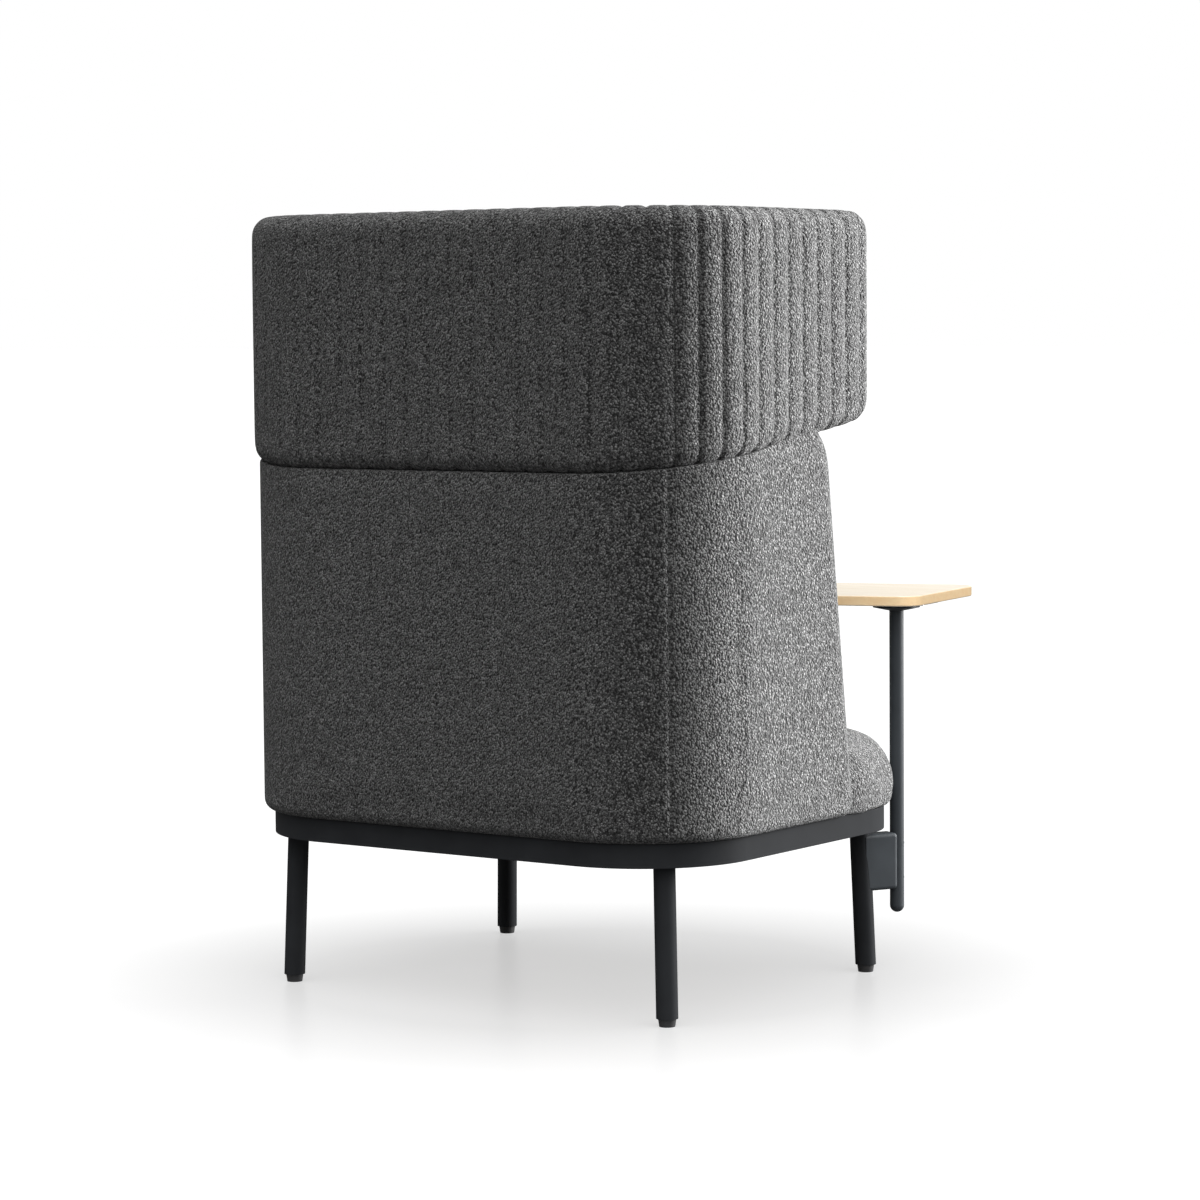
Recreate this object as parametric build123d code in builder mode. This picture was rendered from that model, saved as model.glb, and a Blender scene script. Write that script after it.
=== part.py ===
from build123d import *
import math
import os

# Single seat sofa with a high hooded wall and a swivelling side table.
# Millimetres, +Z up, front toward -Y, sitter's right at -X.
# The origin is on the floor under the middle of the four feet.

# Steel base
ring_half_width = 466
ring_back = 388
ring_front = 345
ring_back_radius = 197
ring_front_radius = 140
ring_bottom = 260
ring_height = 40
ring_wall = 6
ring_edge = 1
foot_inset_x = 76
foot_inset_y = 37
leg_diameter = 36
leg_wall = 2
leg_splay_x = 9
leg_splay_y = 7
leg_plug = 24
glide_height = 13
glide_top_diameter = 30
glide_floor_diameter = 26
glide_plug = 15
glide_fit = 0.8
gusset_thickness = 6
gusset_reach = 150
rail_width = 30
rail_height = 20
rail_wall = 2
rail_spacing = 300
deck_thickness = 18
deck_clearance = 0.5

# Fasteners
leg_bolt_diameter = 10
leg_bolt_head = 17
leg_bolt_head_height = 6.5
leg_bolt_length = 26
leg_bolt_access = 28
deck_screw_diameter = 6
deck_screw_head = 12
deck_screw_head_height = 4
deck_screw_bite = 11
deck_screw_spread = 60
screw_clearance = 0.2
shell_screw_diameter = 5
shell_screw_head = 10
shell_screw_head_height = 3
shell_screw_bite = 9

# Upholstered wall and the plywood shell inside it
wall_overhang = 18
wall_thickness = 75
wall_edge_radius = 32
wall_foot_radius = 18
wall_front_at_deck = 135
wall_front_lean = 0.1325
wall_top_corner = 70
seam_radius = 6
core_inset = 12
core_thickness = 15
core_clearance = 0.3
core_front_cover = 36
bracket_height = 42
bracket_leg = 26
bracket_thickness = 3
bracket_width = 60
bracket_deck_hole = 16
bracket_wall_hole = 25
bracket_headroom = 4
side_bracket_setback = 40
side_bracket_pitch = 180
back_bracket_spacing = 270

# Quilted hood
hood_top = 1316
hood_overhang = 26
hood_thickness = 90
hood_edge_radius = 32
hood_front = 178
hood_nose_steps = (0.55, 0.85, 0.97)
hood_low_at_back = 886
hood_low_rise = 0.135
hood_core_cover = 26
channel_depth = 5
channel_shoulder = 0.22
channel_shoulder_depth = 1
back_channels = 20
wing_channels = 13
hood_gap = 0.3

# Seat cushion
cushion_overhang = 11
cushion_crown = 445
cushion_shoulder = 430
cushion_shoulder_inset = 64
cushion_waist = 338
cushion_foot_inset = 10
cushion_nose = 80
cushion_nose_steps = (0.03, 0.12, 0.3, 0.6, 1)
cushion_rear_steps = (0, 0.4, 0.7, 0.9, 1)
cushion_clearance = 1

# Table post and its bracket
post_inset_x = 48
post_ahead_y = 22
post_diameter = 25
post_wall = 2.5
post_bottom = 99
post_top = 629
bracket_block_bottom = 142
bracket_block_top = 241
bracket_block_width = 36
bracket_block_corner = 7
bracket_block_short = 8
weld_gap = 0.2
cap_plug = 18
post_screw_diameter = 6
post_screw_head = 10
post_screw_head_height = 1.3
post_screw_seat = 1.5
post_screw_spacing = 60
post_screw_bite = 18
bush_length = 60
bush_collar = 1.5
spigot_diameter = 14
spigot_length = 55
spigot_clearance = 0.05
swivel_clearance = 0.2

# Table
table_turn = 17
table_width = 440
table_depth = 312
table_flare = 8
table_thickness = 18
table_corner = 40
table_edge = 2.5
table_behind_post = 50
table_outside_post = 45
flange_diameter = 82
flange_height = 6.5
flange_rim = 1.5
flange_hub = 34
plate_thickness = 3
plate_width = 96
plate_length = 112
plate_corner = 8
plate_outside_post = 37
plate_screw_diameter = 5
plate_screw_head = 9
plate_screw_head_height = 2.5
plate_screw_bite = 12
plate_screw_spread_x = 70
plate_screw_spread_y = 42
plate_screw_from_front = 34

os.makedirs("parts", exist_ok=True)

# Levels and places that follow from the sizes above
ring_top = ring_bottom + ring_height
deck_bottom = ring_top - deck_thickness
foot_half_x = ring_half_width - foot_inset_x
foot_half_y = ring_front - foot_inset_y
post_x = post_inset_x - ring_half_width
post_y = -ring_front - post_ahead_y
gusset_bottom = deck_bottom - gusset_thickness
corner_x = ring_half_width - ring_back_radius
corner_y = ring_back - ring_back_radius
front_corner_x = ring_half_width - ring_front_radius
front_corner_y = ring_front_radius - ring_front
plan_reach = 2 * (ring_half_width + ring_back + ring_front)
table_bottom = post_top + flange_height + plate_thickness
plate_bottom = post_top + flange_height


def plan_face(grow):
    """The sofa's plan outline at the ring, grown outward all round (inward when negative)."""
    with BuildSketch() as plan:
        with Locations((0, (ring_back - ring_front) / 2)):
            Rectangle(2 * (ring_half_width + grow), ring_back + ring_front + 2 * grow)
        fillet(plan.vertices().group_by(Axis.Y)[-1], ring_back_radius + grow)
        fillet(plan.vertices().group_by(Axis.Y)[0], ring_front_radius + grow)
    return plan.sketch


def leg_point(side_x, side_y, height):
    """A point on the axis of one splayed leg at the given height above the floor."""
    inward = height / gusset_bottom
    x = side_x * (foot_half_x - leg_splay_x * inward)
    y = side_y * (foot_half_y - leg_splay_y * inward)
    return (x, y, height)


def hood_low(y):
    """Height of the hood's lower face, which rises toward the front."""
    return hood_low_at_back + hood_low_rise * (ring_back + hood_overhang - y)


def wall_front(z):
    """Y of the side panels' leaning front edge at the given height."""
    return -wall_front_at_deck + wall_front_lean * (z - ring_top)


corners = {
    "front_right": (-1, -1),
    "front_left": (1, -1),
    "rear_right": (-1, 1),
    "rear_left": (1, 1),
}
ring_plan = plan_face(0)
ring_bore_plan = plan_face(-ring_wall)
leg_heads = [leg_point(side_x, side_y, gusset_bottom) for side_x, side_y in corners.values()]
deck_screw_points = []
for side_x, side_y in corners.values():
    head_x, head_y, head_z = leg_point(side_x, side_y, gusset_bottom)
    deck_screw_points.append((head_x - side_x * deck_screw_spread, head_y))
    deck_screw_points.append((head_x, head_y - side_y * deck_screw_spread))

# Base ring: a flat band standing on edge, with its edges softened
with BuildPart() as base_ring:
    with BuildSketch(Plane.XY.offset(ring_bottom)):
        add(ring_plan)
        add(ring_bore_plan, mode=Mode.SUBTRACT)
    extrude(amount=ring_height)
    level_faces = base_ring.faces().filter_by(Axis.Z)
    fillet(level_faces.edges(), ring_edge)
base_ring.part.label = "base_ring"
export_step(base_ring.part, "parts/base_ring.step")

# Gussets in the ring's corners, drilled for the leg bolts and the deck screws
with BuildPart() as leg_plates:
    with BuildSketch(Plane.XY.offset(gusset_bottom)):
        add(ring_bore_plan)
        with Locations((0, (ring_back - ring_front) / 2)):
            Rectangle(2 * (ring_half_width - gusset_reach), ring_back + ring_front, mode=Mode.SUBTRACT)
            Rectangle(2 * ring_half_width, ring_back + ring_front - 2 * gusset_reach, mode=Mode.SUBTRACT)
    extrude(amount=gusset_thickness)
    with Locations(*[(x, y, deck_bottom) for x, y, z in leg_heads]):
        Hole(leg_bolt_diameter / 2 + screw_clearance, gusset_thickness)
    with Locations(*[(x, y, deck_bottom) for x, y in deck_screw_points]):
        Hole(deck_screw_diameter / 2 + screw_clearance, gusset_thickness)
leg_plates.part.label = "leg_plates"
export_step(leg_plates.part, "parts/leg_plates.step")

# Cross rails: two square-cornered tubes from side to side of the ring
rail_length = 2 * (ring_half_width - ring_wall)
with BuildPart() as cross_rails:
    with BuildSketch(Plane.YZ.offset(-rail_length / 2)):
        with Locations((0, deck_bottom - rail_height / 2)):
            with GridLocations(rail_spacing, 1, 2, 1):
                Rectangle(rail_width, rail_height)
                Rectangle(rail_width - 2 * rail_wall, rail_height - 2 * rail_wall, mode=Mode.SUBTRACT)
    extrude(amount=rail_length)
cross_rails.part.label = "cross_rails"
export_step(cross_rails.part, "parts/cross_rails.step")

# Legs: splayed tubes cut level at both ends, with a tapped plug in the top
for corner, (side_x, side_y) in corners.items():
    foot = Vector(*leg_point(side_x, side_y, 0))
    head = Vector(*leg_point(side_x, side_y, gusset_bottom))
    with BuildPart() as leg:
        with BuildSketch(Plane(origin=foot, z_dir=head - foot)):
            Circle(leg_diameter / 2)
        extrude(amount=gusset_bottom + leg_diameter)
        with BuildSketch(Plane(origin=foot, z_dir=head - foot)):
            Circle(leg_diameter / 2 - leg_wall)
        extrude(amount=gusset_bottom - leg_plug, mode=Mode.SUBTRACT)
        split(bisect_by=Plane.XY.offset(gusset_bottom), keep=Keep.BOTTOM)
        split(bisect_by=Plane.XY.offset(glide_height), keep=Keep.TOP)
        with Locations(head):
            Hole(leg_bolt_diameter / 2 + screw_clearance, leg_plug)
    leg.part.label = "leg_" + corner
    export_step(leg.part, "parts/leg_" + corner + ".step")

# Glides: tapered plastic feet with a plug up inside the tube
glide_plug_radius = leg_diameter / 2 - leg_wall - glide_fit
for corner, (side_x, side_y) in corners.items():
    foot_x, foot_y, foot_z = leg_point(side_x, side_y, glide_height)
    with BuildPart() as glide:
        with BuildSketch(Plane(origin=(foot_x, foot_y, 0), x_dir=(1, 0, 0), z_dir=(0, -1, 0))):
            with BuildLine():
                Polyline(
                    (0, 0),
                    (glide_floor_diameter / 2, 0),
                    (glide_top_diameter / 2, glide_height),
                    (glide_plug_radius, glide_height),
                    (glide_plug_radius, glide_height + glide_plug),
                    (0, glide_height + glide_plug),
                    close=True,
                )
            make_face()
        revolve(axis=Axis((foot_x, foot_y, 0), (0, 0, 1)))
    glide.part.label = "glide_" + corner
    export_step(glide.part, "parts/glide_" + corner + ".step")

# Leg bolts: hexagon heads above the gussets
with BuildPart() as leg_bolts:
    with BuildSketch(Plane.XY.offset(deck_bottom)):
        with Locations(*[(x, y) for x, y, z in leg_heads]):
            RegularPolygon(leg_bolt_head / 2, 6, major_radius=False)
    extrude(amount=leg_bolt_head_height)
    with BuildSketch(Plane.XY.offset(deck_bottom)):
        with Locations(*[(x, y) for x, y, z in leg_heads]):
            Circle(leg_bolt_diameter / 2)
    extrude(amount=-leg_bolt_length)
leg_bolts.part.label = "leg_bolts"
export_step(leg_bolts.part, "parts/leg_bolts.step")

# Shell brackets: small angles that hold the plywood shell to the deck, placed by wall and position along it
core_face = core_inset + core_thickness
bracket_places = []
for index in range(2):
    back_x = (index - 0.5) * back_bracket_spacing
    side_y = corner_y - side_bracket_setback - index * side_bracket_pitch
    bracket_places.append((back_x, ring_back - core_face, 180))
    bracket_places.append((-(ring_half_width - core_face), side_y, -90))
    bracket_places.append((ring_half_width - core_face, side_y, 90))
bracket_planes = []
for place_x, place_y, facing in bracket_places:
    turn = math.radians(facing)
    bracket_planes.append(Plane(
        origin=(place_x, place_y, ring_top),
        x_dir=(math.cos(turn), math.sin(turn), 0),
        z_dir=(0, 0, 1),
    ))

# Seat deck: plywood inside the ring, with access holes over the leg bolts
with BuildPart() as seat_deck:
    with BuildSketch(Plane.XY.offset(deck_bottom)):
        add(plan_face(-ring_wall - deck_clearance))
        with Locations(*[(x, y) for x, y, z in leg_heads]):
            Circle(leg_bolt_access / 2, mode=Mode.SUBTRACT)
    extrude(amount=deck_thickness)
    with BuildSketch(Plane.XY.offset(deck_bottom)):
        with Locations(*deck_screw_points):
            Circle(deck_screw_diameter / 2 + screw_clearance)
    extrude(amount=deck_screw_bite, mode=Mode.SUBTRACT)
    for plane in bracket_planes:
        with BuildSketch(plane):
            with Locations((0, bracket_deck_hole)):
                Circle(shell_screw_diameter / 2 + screw_clearance)
        extrude(amount=-shell_screw_bite, mode=Mode.SUBTRACT)
seat_deck.part.label = "seat_deck"
export_step(seat_deck.part, "parts/seat_deck.step")

# Deck screws: driven up through the gussets
with BuildPart() as deck_screws:
    with BuildSketch(Plane.XY.offset(gusset_bottom)):
        with Locations(*deck_screw_points):
            Circle(deck_screw_head / 2)
    extrude(amount=-deck_screw_head_height)
    with BuildSketch(Plane.XY.offset(gusset_bottom)):
        with Locations(*deck_screw_points):
            Circle(deck_screw_diameter / 2)
    extrude(amount=gusset_thickness + deck_screw_bite - screw_clearance)
deck_screws.part.label = "deck_screws"
export_step(deck_screws.part, "parts/deck_screws.step")


def core_solid(spare):
    """The bent plywood shell, or with spare the room it needs inside the pads."""
    wing_low = hood_low(-hood_front) + hood_core_cover - spare
    with BuildPart() as shell:
        with BuildSketch(Plane.XY.offset(ring_top)):
            add(plan_face(spare - core_inset))
            add(plan_face(-core_face - spare), mode=Mode.SUBTRACT)
        extrude(amount=hood_top - hood_edge_radius - ring_top + spare)
        with BuildSketch(Plane.YZ):
            with BuildLine():
                Polyline(
                    (ring_back, ring_top),
                    (ring_back, hood_top),
                    (-hood_front + core_front_cover - spare, hood_top),
                    (-hood_front + core_front_cover - spare, wing_low),
                    (wall_front(wing_low) + core_front_cover - spare, wing_low),
                    (wall_front(ring_top) + core_front_cover - spare, ring_top),
                    close=True,
                )
            make_face()
        extrude(amount=plan_reach, both=True, mode=Mode.INTERSECT)
    return shell.part


# Shell core: one bent plywood U that stands on the deck and carries the wall and the hood
with BuildPart() as shell_core:
    add(core_solid(0))
    for plane in bracket_planes:
        upright = Plane(origin=plane.origin, x_dir=plane.x_dir, z_dir=plane.y_dir)
        with BuildSketch(upright):
            with Locations((0, -bracket_wall_hole)):
                Circle(shell_screw_diameter / 2 + screw_clearance)
        extrude(amount=-shell_screw_bite, mode=Mode.SUBTRACT)
shell_core.part.label = "shell_core"
export_step(shell_core.part, "parts/shell_core.step")

# Shell brackets: bent steel angles, one leg on the deck and one on the plywood
with BuildPart() as shell_brackets:
    for plane in bracket_planes:
        end = Plane(origin=plane.origin, x_dir=plane.y_dir, z_dir=plane.x_dir)
        with BuildSketch(end):
            with BuildLine():
                Polyline(
                    (0, 0),
                    (bracket_leg, 0),
                    (bracket_leg, bracket_thickness),
                    (bracket_thickness, bracket_thickness),
                    (bracket_thickness, bracket_height),
                    (0, bracket_height),
                    close=True,
                )
            make_face()
        extrude(amount=bracket_width / 2, both=True)
    for plane in bracket_planes:
        with BuildSketch(plane):
            with Locations((0, bracket_deck_hole)):
                Circle(shell_screw_diameter / 2 + screw_clearance)
        extrude(amount=bracket_thickness, mode=Mode.SUBTRACT)
        upright = Plane(origin=plane.origin, x_dir=plane.x_dir, z_dir=plane.y_dir)
        with BuildSketch(upright):
            with Locations((0, -bracket_wall_hole)):
                Circle(shell_screw_diameter / 2 + screw_clearance)
        extrude(amount=bracket_thickness, mode=Mode.SUBTRACT)
shell_brackets.part.label = "shell_brackets"
export_step(shell_brackets.part, "parts/shell_brackets.step")

# Shell screws: one down and one across through each bracket
with BuildPart() as shell_screws:
    for plane in bracket_planes:
        upright = Plane(origin=plane.origin, x_dir=plane.x_dir, z_dir=plane.y_dir)
        for seat, at in ((plane, bracket_deck_hole), (upright, -bracket_wall_hole)):
            with BuildSketch(seat.offset(bracket_thickness)):
                with Locations((0, at)):
                    Circle(shell_screw_head / 2)
            extrude(amount=shell_screw_head_height)
            with BuildSketch(seat.offset(bracket_thickness)):
                with Locations((0, at)):
                    Circle(shell_screw_diameter / 2)
            extrude(amount=-bracket_thickness - shell_screw_bite + screw_clearance)
shell_screws.part.label = "shell_screws"
export_step(shell_screws.part, "parts/shell_screws.step")

# Upholstered wall, whole: a U-shaped band with a leaning rounded front and a rolled lower edge.
# Its top is cut along the hood's sloping lower face and rounded at the front.
wall_back = ring_back + wall_overhang
wall_slope_top = hood_low(0) - hood_gap - ring_top
wall_top_y = (wall_front_lean * wall_slope_top - wall_front_at_deck) / (1 + wall_front_lean * hood_low_rise)
with BuildPart() as wall:
    with BuildSketch(Plane.XY.offset(ring_top)):
        add(plan_face(wall_overhang))
        add(plan_face(wall_overhang - wall_thickness), mode=Mode.SUBTRACT)
    extrude(amount=hood_top - ring_top)
    with BuildSketch(Plane.YZ):
        with BuildLine():
            Polyline(
                (wall_back, ring_top),
                (wall_back, hood_top),
                (wall_front(hood_top), hood_top),
                (wall_front(ring_top), ring_top),
                close=True,
            )
        make_face()
    extrude(amount=plan_reach, both=True, mode=Mode.INTERSECT)
    front_faces = wall.faces().filter_by(lambda face: face.normal_at().Y < -0.9 and face.center().Y < 0)
    fillet(front_faces.edges().filter_by(lambda edge: edge.length > hood_low_at_back - ring_top), wall_edge_radius)
    fillet(wall.faces().sort_by(Axis.Z)[0].edges(), wall_foot_radius)
    with BuildSketch(Plane.YZ) as wall_side:
        with BuildLine():
            Polyline(
                (wall_back, ring_top),
                (wall_back, hood_low(wall_back) - hood_gap),
                (wall_top_y, hood_low(wall_top_y) - hood_gap),
                (wall_front(ring_top), ring_top),
                close=True,
            )
        make_face()
        fillet(wall_side.vertices().sort_by(Axis.X)[1], wall_top_corner)
    extrude(amount=plan_reach, both=True, mode=Mode.INTERSECT)
    add(core_solid(core_clearance), mode=Mode.SUBTRACT)
    with BuildSketch(Plane.XY.offset(ring_top)):
        add(plan_face(-core_face))
    extrude(amount=bracket_height + bracket_headroom, mode=Mode.SUBTRACT)

# The wall's covers meet in an upright seam at the middle of each rear corner
seam_right = Plane(origin=(-corner_x, corner_y, 0), z_dir=(1, 1, 0))
seam_left = Plane(origin=(corner_x, corner_y, 0), z_dir=(-1, 1, 0))


def outer_seam_edges(part, seam):
    """The upright outside edges of a part that lie in the given seam plane."""
    upright_edges = part.edges().filter_by(Axis.Z)
    in_seam = upright_edges.filter_by(lambda edge: abs(seam.to_local_coords(edge.center()).Z) < 0.01)
    return in_seam.sort_by(lambda edge: math.hypot(edge.center().X, edge.center().Y))[-1]


with BuildPart() as right_pad:
    add(wall.part)
    split(bisect_by=seam_right, keep=Keep.BOTTOM)
    fillet(outer_seam_edges(right_pad, seam_right), seam_radius)
right_pad.part.label = "right_pad"
export_step(right_pad.part, "parts/right_pad.step")

with BuildPart() as left_pad:
    mirror(right_pad.part, about=Plane.YZ)
left_pad.part.label = "left_pad"
export_step(left_pad.part, "parts/left_pad.step")

with BuildPart() as back_wall:
    add(wall.part)
    split(bisect_by=seam_right, keep=Keep.TOP)
    split(bisect_by=seam_left, keep=Keep.TOP)
back_solids = back_wall.solids().sort_by(Axis.Y)

with BuildPart() as back_pad:
    add(back_solids[-1])
    fillet(outer_seam_edges(back_pad, seam_right), seam_radius)
    fillet(outer_seam_edges(back_pad, seam_left), seam_radius)
back_pad.part.label = "back_pad"
export_step(back_pad.part, "parts/back_pad.step")

with BuildPart() as back_inner_pad:
    add(back_solids[0])
back_inner_pad.part.label = "back_inner_pad"
export_step(back_inner_pad.part, "parts/back_inner_pad.step")

# Quilted hood. Its sections stand across a path round the wall and are counted from the rear corner seams:
# each channel is full between its stitch lines and drawn in at them.
hood_outer_radius = ring_back_radius + hood_overhang
hood_middle = hood_overhang - hood_thickness / 2
corner_travel = hood_outer_radius * math.pi / 4
wing_travel = corner_travel + corner_y + hood_front
back_travel = 2 * corner_travel + 2 * corner_x


def hood_plane(travel):
    """Section plane at a travel along the hood's outside from the right corner seam, negative along the wing."""
    if travel < -corner_travel:
        place = (-corner_x, corner_y + travel + corner_travel)
        angle = math.pi
    elif travel <= corner_travel:
        place = (-corner_x, corner_y)
        angle = math.radians(135) - travel / hood_outer_radius
    elif travel < back_travel - corner_travel:
        place = (-corner_x + travel - corner_travel, corner_y)
        angle = math.radians(90)
    else:
        place = (corner_x, corner_y)
        angle = math.radians(90) - (travel - back_travel + corner_travel) / hood_outer_radius
    outward = Vector(math.cos(angle), math.sin(angle), 0)
    origin = Vector(place[0], place[1], 0) + outward * (ring_back_radius + hood_middle)
    return Plane(origin=origin, x_dir=outward, z_dir=(outward.Y, -outward.X, 0))


def hood_corners(plane, inset):
    """Corners of the hood's section in its plane: outward, up."""
    half = hood_thickness / 2 - inset
    low_out = hood_low((plane.origin + plane.x_dir * half).Y) + inset
    low_in = hood_low((plane.origin - plane.x_dir * half).Y) + inset
    top = hood_top - inset
    return ((half, low_out), (half, top), (-half, top), (-half, low_in))


def channel_stations(length, count):
    """Travel and inset of the sections for a run of channels, from stitch line to stitch line."""
    pitch = length / count
    stations = []
    for index in range(count):
        stations.append((index * pitch, channel_depth))
        stations.append(((index + channel_shoulder) * pitch, channel_shoulder_depth))
        stations.append(((index + 0.5) * pitch, 0))
        stations.append(((index + 1 - channel_shoulder) * pitch, channel_shoulder_depth))
    return stations


# The wings end in a rounded front edge: the last channel's sections draw in along a quarter round
nose_stations = []
for step in hood_nose_steps:
    draw_in = hood_edge_radius * (1 - math.sqrt(1 - step ** 2))
    nose_stations.append((wing_travel - hood_edge_radius * (hood_nose_steps[-1] - step), draw_in))
wing_stations = [
    station for station in channel_stations(wing_travel, wing_channels)
    if station[0] < nose_stations[0][0]
]

with BuildPart() as hood_right:
    for travel, inset in wing_stations + nose_stations:
        plane = hood_plane(-travel)
        with BuildSketch(plane) as section:
            Polygon(*hood_corners(plane, inset), align=None)
            fillet(section.vertices(), max(hood_edge_radius - inset, 3))
    loft(ruled=True)
    add(core_solid(core_clearance), mode=Mode.SUBTRACT)
hood_right.part.label = "hood_right"
export_step(hood_right.part, "parts/hood_right.step")

with BuildPart() as hood_left:
    mirror(hood_right.part, about=Plane.YZ)
hood_left.part.label = "hood_left"
export_step(hood_left.part, "parts/hood_left.step")

with BuildPart() as hood_back:
    for travel, inset in channel_stations(back_travel, back_channels) + [(back_travel, channel_depth)]:
        plane = hood_plane(travel)
        with BuildSketch(plane) as section:
            Polygon(*hood_corners(plane, inset), align=None)
            fillet(section.vertices(), hood_edge_radius - inset)
    loft(ruled=True)
    add(core_solid(core_clearance), mode=Mode.SUBTRACT)
hood_back.part.label = "hood_back"
export_step(hood_back.part, "parts/hood_back.step")

# Seat cushion: sections across the seat from front to back, each with a crowned top and swelling sides.
# It is wide in front of the side panels and fits between them behind.
nose_y = front_corner_y - ring_front_radius - cushion_overhang
step_y = -wall_front_at_deck - cushion_clearance
rear_inset = wall_thickness - wall_overhang + cushion_clearance
rear_y = ring_back - rear_inset


def cushion_half_width(y):
    """Half the cushion's plan width at a place along the seat."""
    if y <= step_y:
        radius = ring_front_radius + cushion_overhang
        into_corner = max(front_corner_y - y, 0)
        return front_corner_x + math.sqrt(max(radius ** 2 - into_corner ** 2, 0))
    radius = ring_back_radius - rear_inset
    into_corner = max(y - corner_y, 0)
    return corner_x + math.sqrt(max(radius ** 2 - into_corner ** 2, 0))


front_steps = [nose_y + cushion_nose * share for share in cushion_nose_steps]
front_steps.append((front_corner_y + step_y) / 2)
rear_steps = [corner_y + (rear_y - corner_y) * share for share in cushion_rear_steps]
stations = [(y, 0) for y in front_steps]
stations += [(step_y, wall_front_lean), (step_y + cushion_clearance, wall_front_lean)]
stations += [(y, 0) for y in rear_steps]
with BuildPart() as seat_cushion:
    for y, lean in stations:
        rise = math.sqrt(1 - max(1 - (y - nose_y) / cushion_nose, 0) ** 2)
        low = cushion_waist - (cushion_waist - ring_top) * min(4 * rise, 1)
        shoulder = cushion_waist + (cushion_shoulder - cushion_waist) * rise
        crown = cushion_waist + (cushion_crown - cushion_waist) * rise
        half = cushion_half_width(y)
        shoulder_half = half - cushion_shoulder_inset * rise
        foot_half = half - cushion_foot_inset
        waist = low + (cushion_waist - ring_top) * (shoulder - low) / (cushion_shoulder - ring_top)
        across = Plane(origin=(0, y, ring_top), x_dir=(1, 0, 0), z_dir=(0, -1, lean))
        with BuildSketch(across):
            with BuildLine():
                ThreePointArc(
                    (-foot_half, low - ring_top),
                    (-half, waist - ring_top),
                    (-shoulder_half, shoulder - ring_top),
                )
                ThreePointArc(
                    (-shoulder_half, shoulder - ring_top),
                    (0, crown - ring_top),
                    (shoulder_half, shoulder - ring_top),
                )
                ThreePointArc(
                    (shoulder_half, shoulder - ring_top),
                    (half, waist - ring_top),
                    (foot_half, low - ring_top),
                )
                Line((foot_half, low - ring_top), (-foot_half, low - ring_top))
            make_face()
    loft(ruled=True)
seat_cushion.part.label = "seat_cushion"
export_step(seat_cushion.part, "parts/seat_cushion.step")

# Post bracket: a block between the front right leg and the post, hollowed to a saddle at both ends.
# It stops short of the post's middle.
block_middle = (bracket_block_bottom + bracket_block_top) / 2
block_leg = Vector(*leg_point(-1, -1, block_middle))
block_post = Vector(post_x, post_y, block_middle)
block_reach = block_post - block_leg
block_length = block_reach.length - bracket_block_short
post_outward = block_reach.normalized()
screw_face = Plane(origin=block_post, x_dir=(0, 0, 1), z_dir=post_outward)
leg_foot = Vector(*leg_point(-1, -1, 0))
leg_head = Vector(*leg_point(-1, -1, gusset_bottom))
with BuildPart() as post_bracket:
    with BuildSketch(Plane(
        origin=(block_leg.X, block_leg.Y, bracket_block_bottom),
        x_dir=post_outward,
        z_dir=(0, 0, 1),
    )):
        with Locations((block_length / 2, 0)):
            Rectangle(block_length, bracket_block_width)
    extrude(amount=bracket_block_top - bracket_block_bottom)
    leg_end = post_bracket.faces().sort_by(lambda face: face.center().dot(post_outward))[0]
    fillet(post_bracket.edges() - leg_end.edges(), bracket_block_corner)
    with BuildSketch(Plane(origin=leg_foot, z_dir=leg_head - leg_foot)):
        Circle(leg_diameter / 2 + weld_gap)
    extrude(amount=ring_bottom, mode=Mode.SUBTRACT)
    with BuildSketch(Plane(origin=(post_x, post_y, 0))):
        Circle(post_diameter / 2 + weld_gap)
    extrude(amount=ring_bottom, mode=Mode.SUBTRACT)
    with BuildSketch(screw_face):
        with GridLocations(post_screw_spacing, 1, 2, 1):
            Circle(post_screw_diameter / 2 + screw_clearance)
    extrude(amount=-post_diameter / 2 - post_screw_bite, mode=Mode.SUBTRACT)
post_bracket.part.label = "post_bracket"
export_step(post_bracket.part, "parts/post_bracket.step")

# Table post: a tube drilled across for its two screws, with seats that sink their heads
cap_top = post_bottom + post_diameter / 2
tube_top = post_top - bush_collar - swivel_clearance
post_bore = post_diameter / 2 - post_wall
with BuildPart() as table_post:
    with BuildSketch(Plane(origin=(post_x, post_y, cap_top))):
        Circle(post_diameter / 2)
        Circle(post_bore, mode=Mode.SUBTRACT)
    extrude(amount=tube_top - cap_top)
    with BuildSketch(screw_face):
        with GridLocations(post_screw_spacing, 1, 2, 1):
            Circle(post_screw_diameter / 2 + screw_clearance)
    extrude(amount=post_diameter, both=True, mode=Mode.SUBTRACT)
    with BuildSketch(screw_face.offset(post_diameter / 2)):
        with GridLocations(post_screw_spacing, 1, 2, 1):
            Circle(post_screw_head / 2 + screw_clearance)
    extrude(amount=-post_screw_seat, mode=Mode.SUBTRACT)
table_post.part.label = "table_post"
export_step(table_post.part, "parts/table_post.step")

# Post screws: through the post from its outer side into the bracket, their flat heads sunk in the tube
screw_seat = screw_face.offset(post_diameter / 2 - post_screw_seat)
with BuildPart() as post_screws:
    with BuildSketch(screw_seat):
        with GridLocations(post_screw_spacing, 1, 2, 1):
            Circle(post_screw_head / 2)
    extrude(amount=post_screw_head_height)
    with BuildSketch(screw_seat):
        with GridLocations(post_screw_spacing, 1, 2, 1):
            Circle(post_screw_diameter / 2)
    extrude(amount=post_screw_seat - post_diameter - post_screw_bite + screw_clearance)
post_screws.part.label = "post_screws"
export_step(post_screws.part, "parts/post_screws.step")

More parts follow.
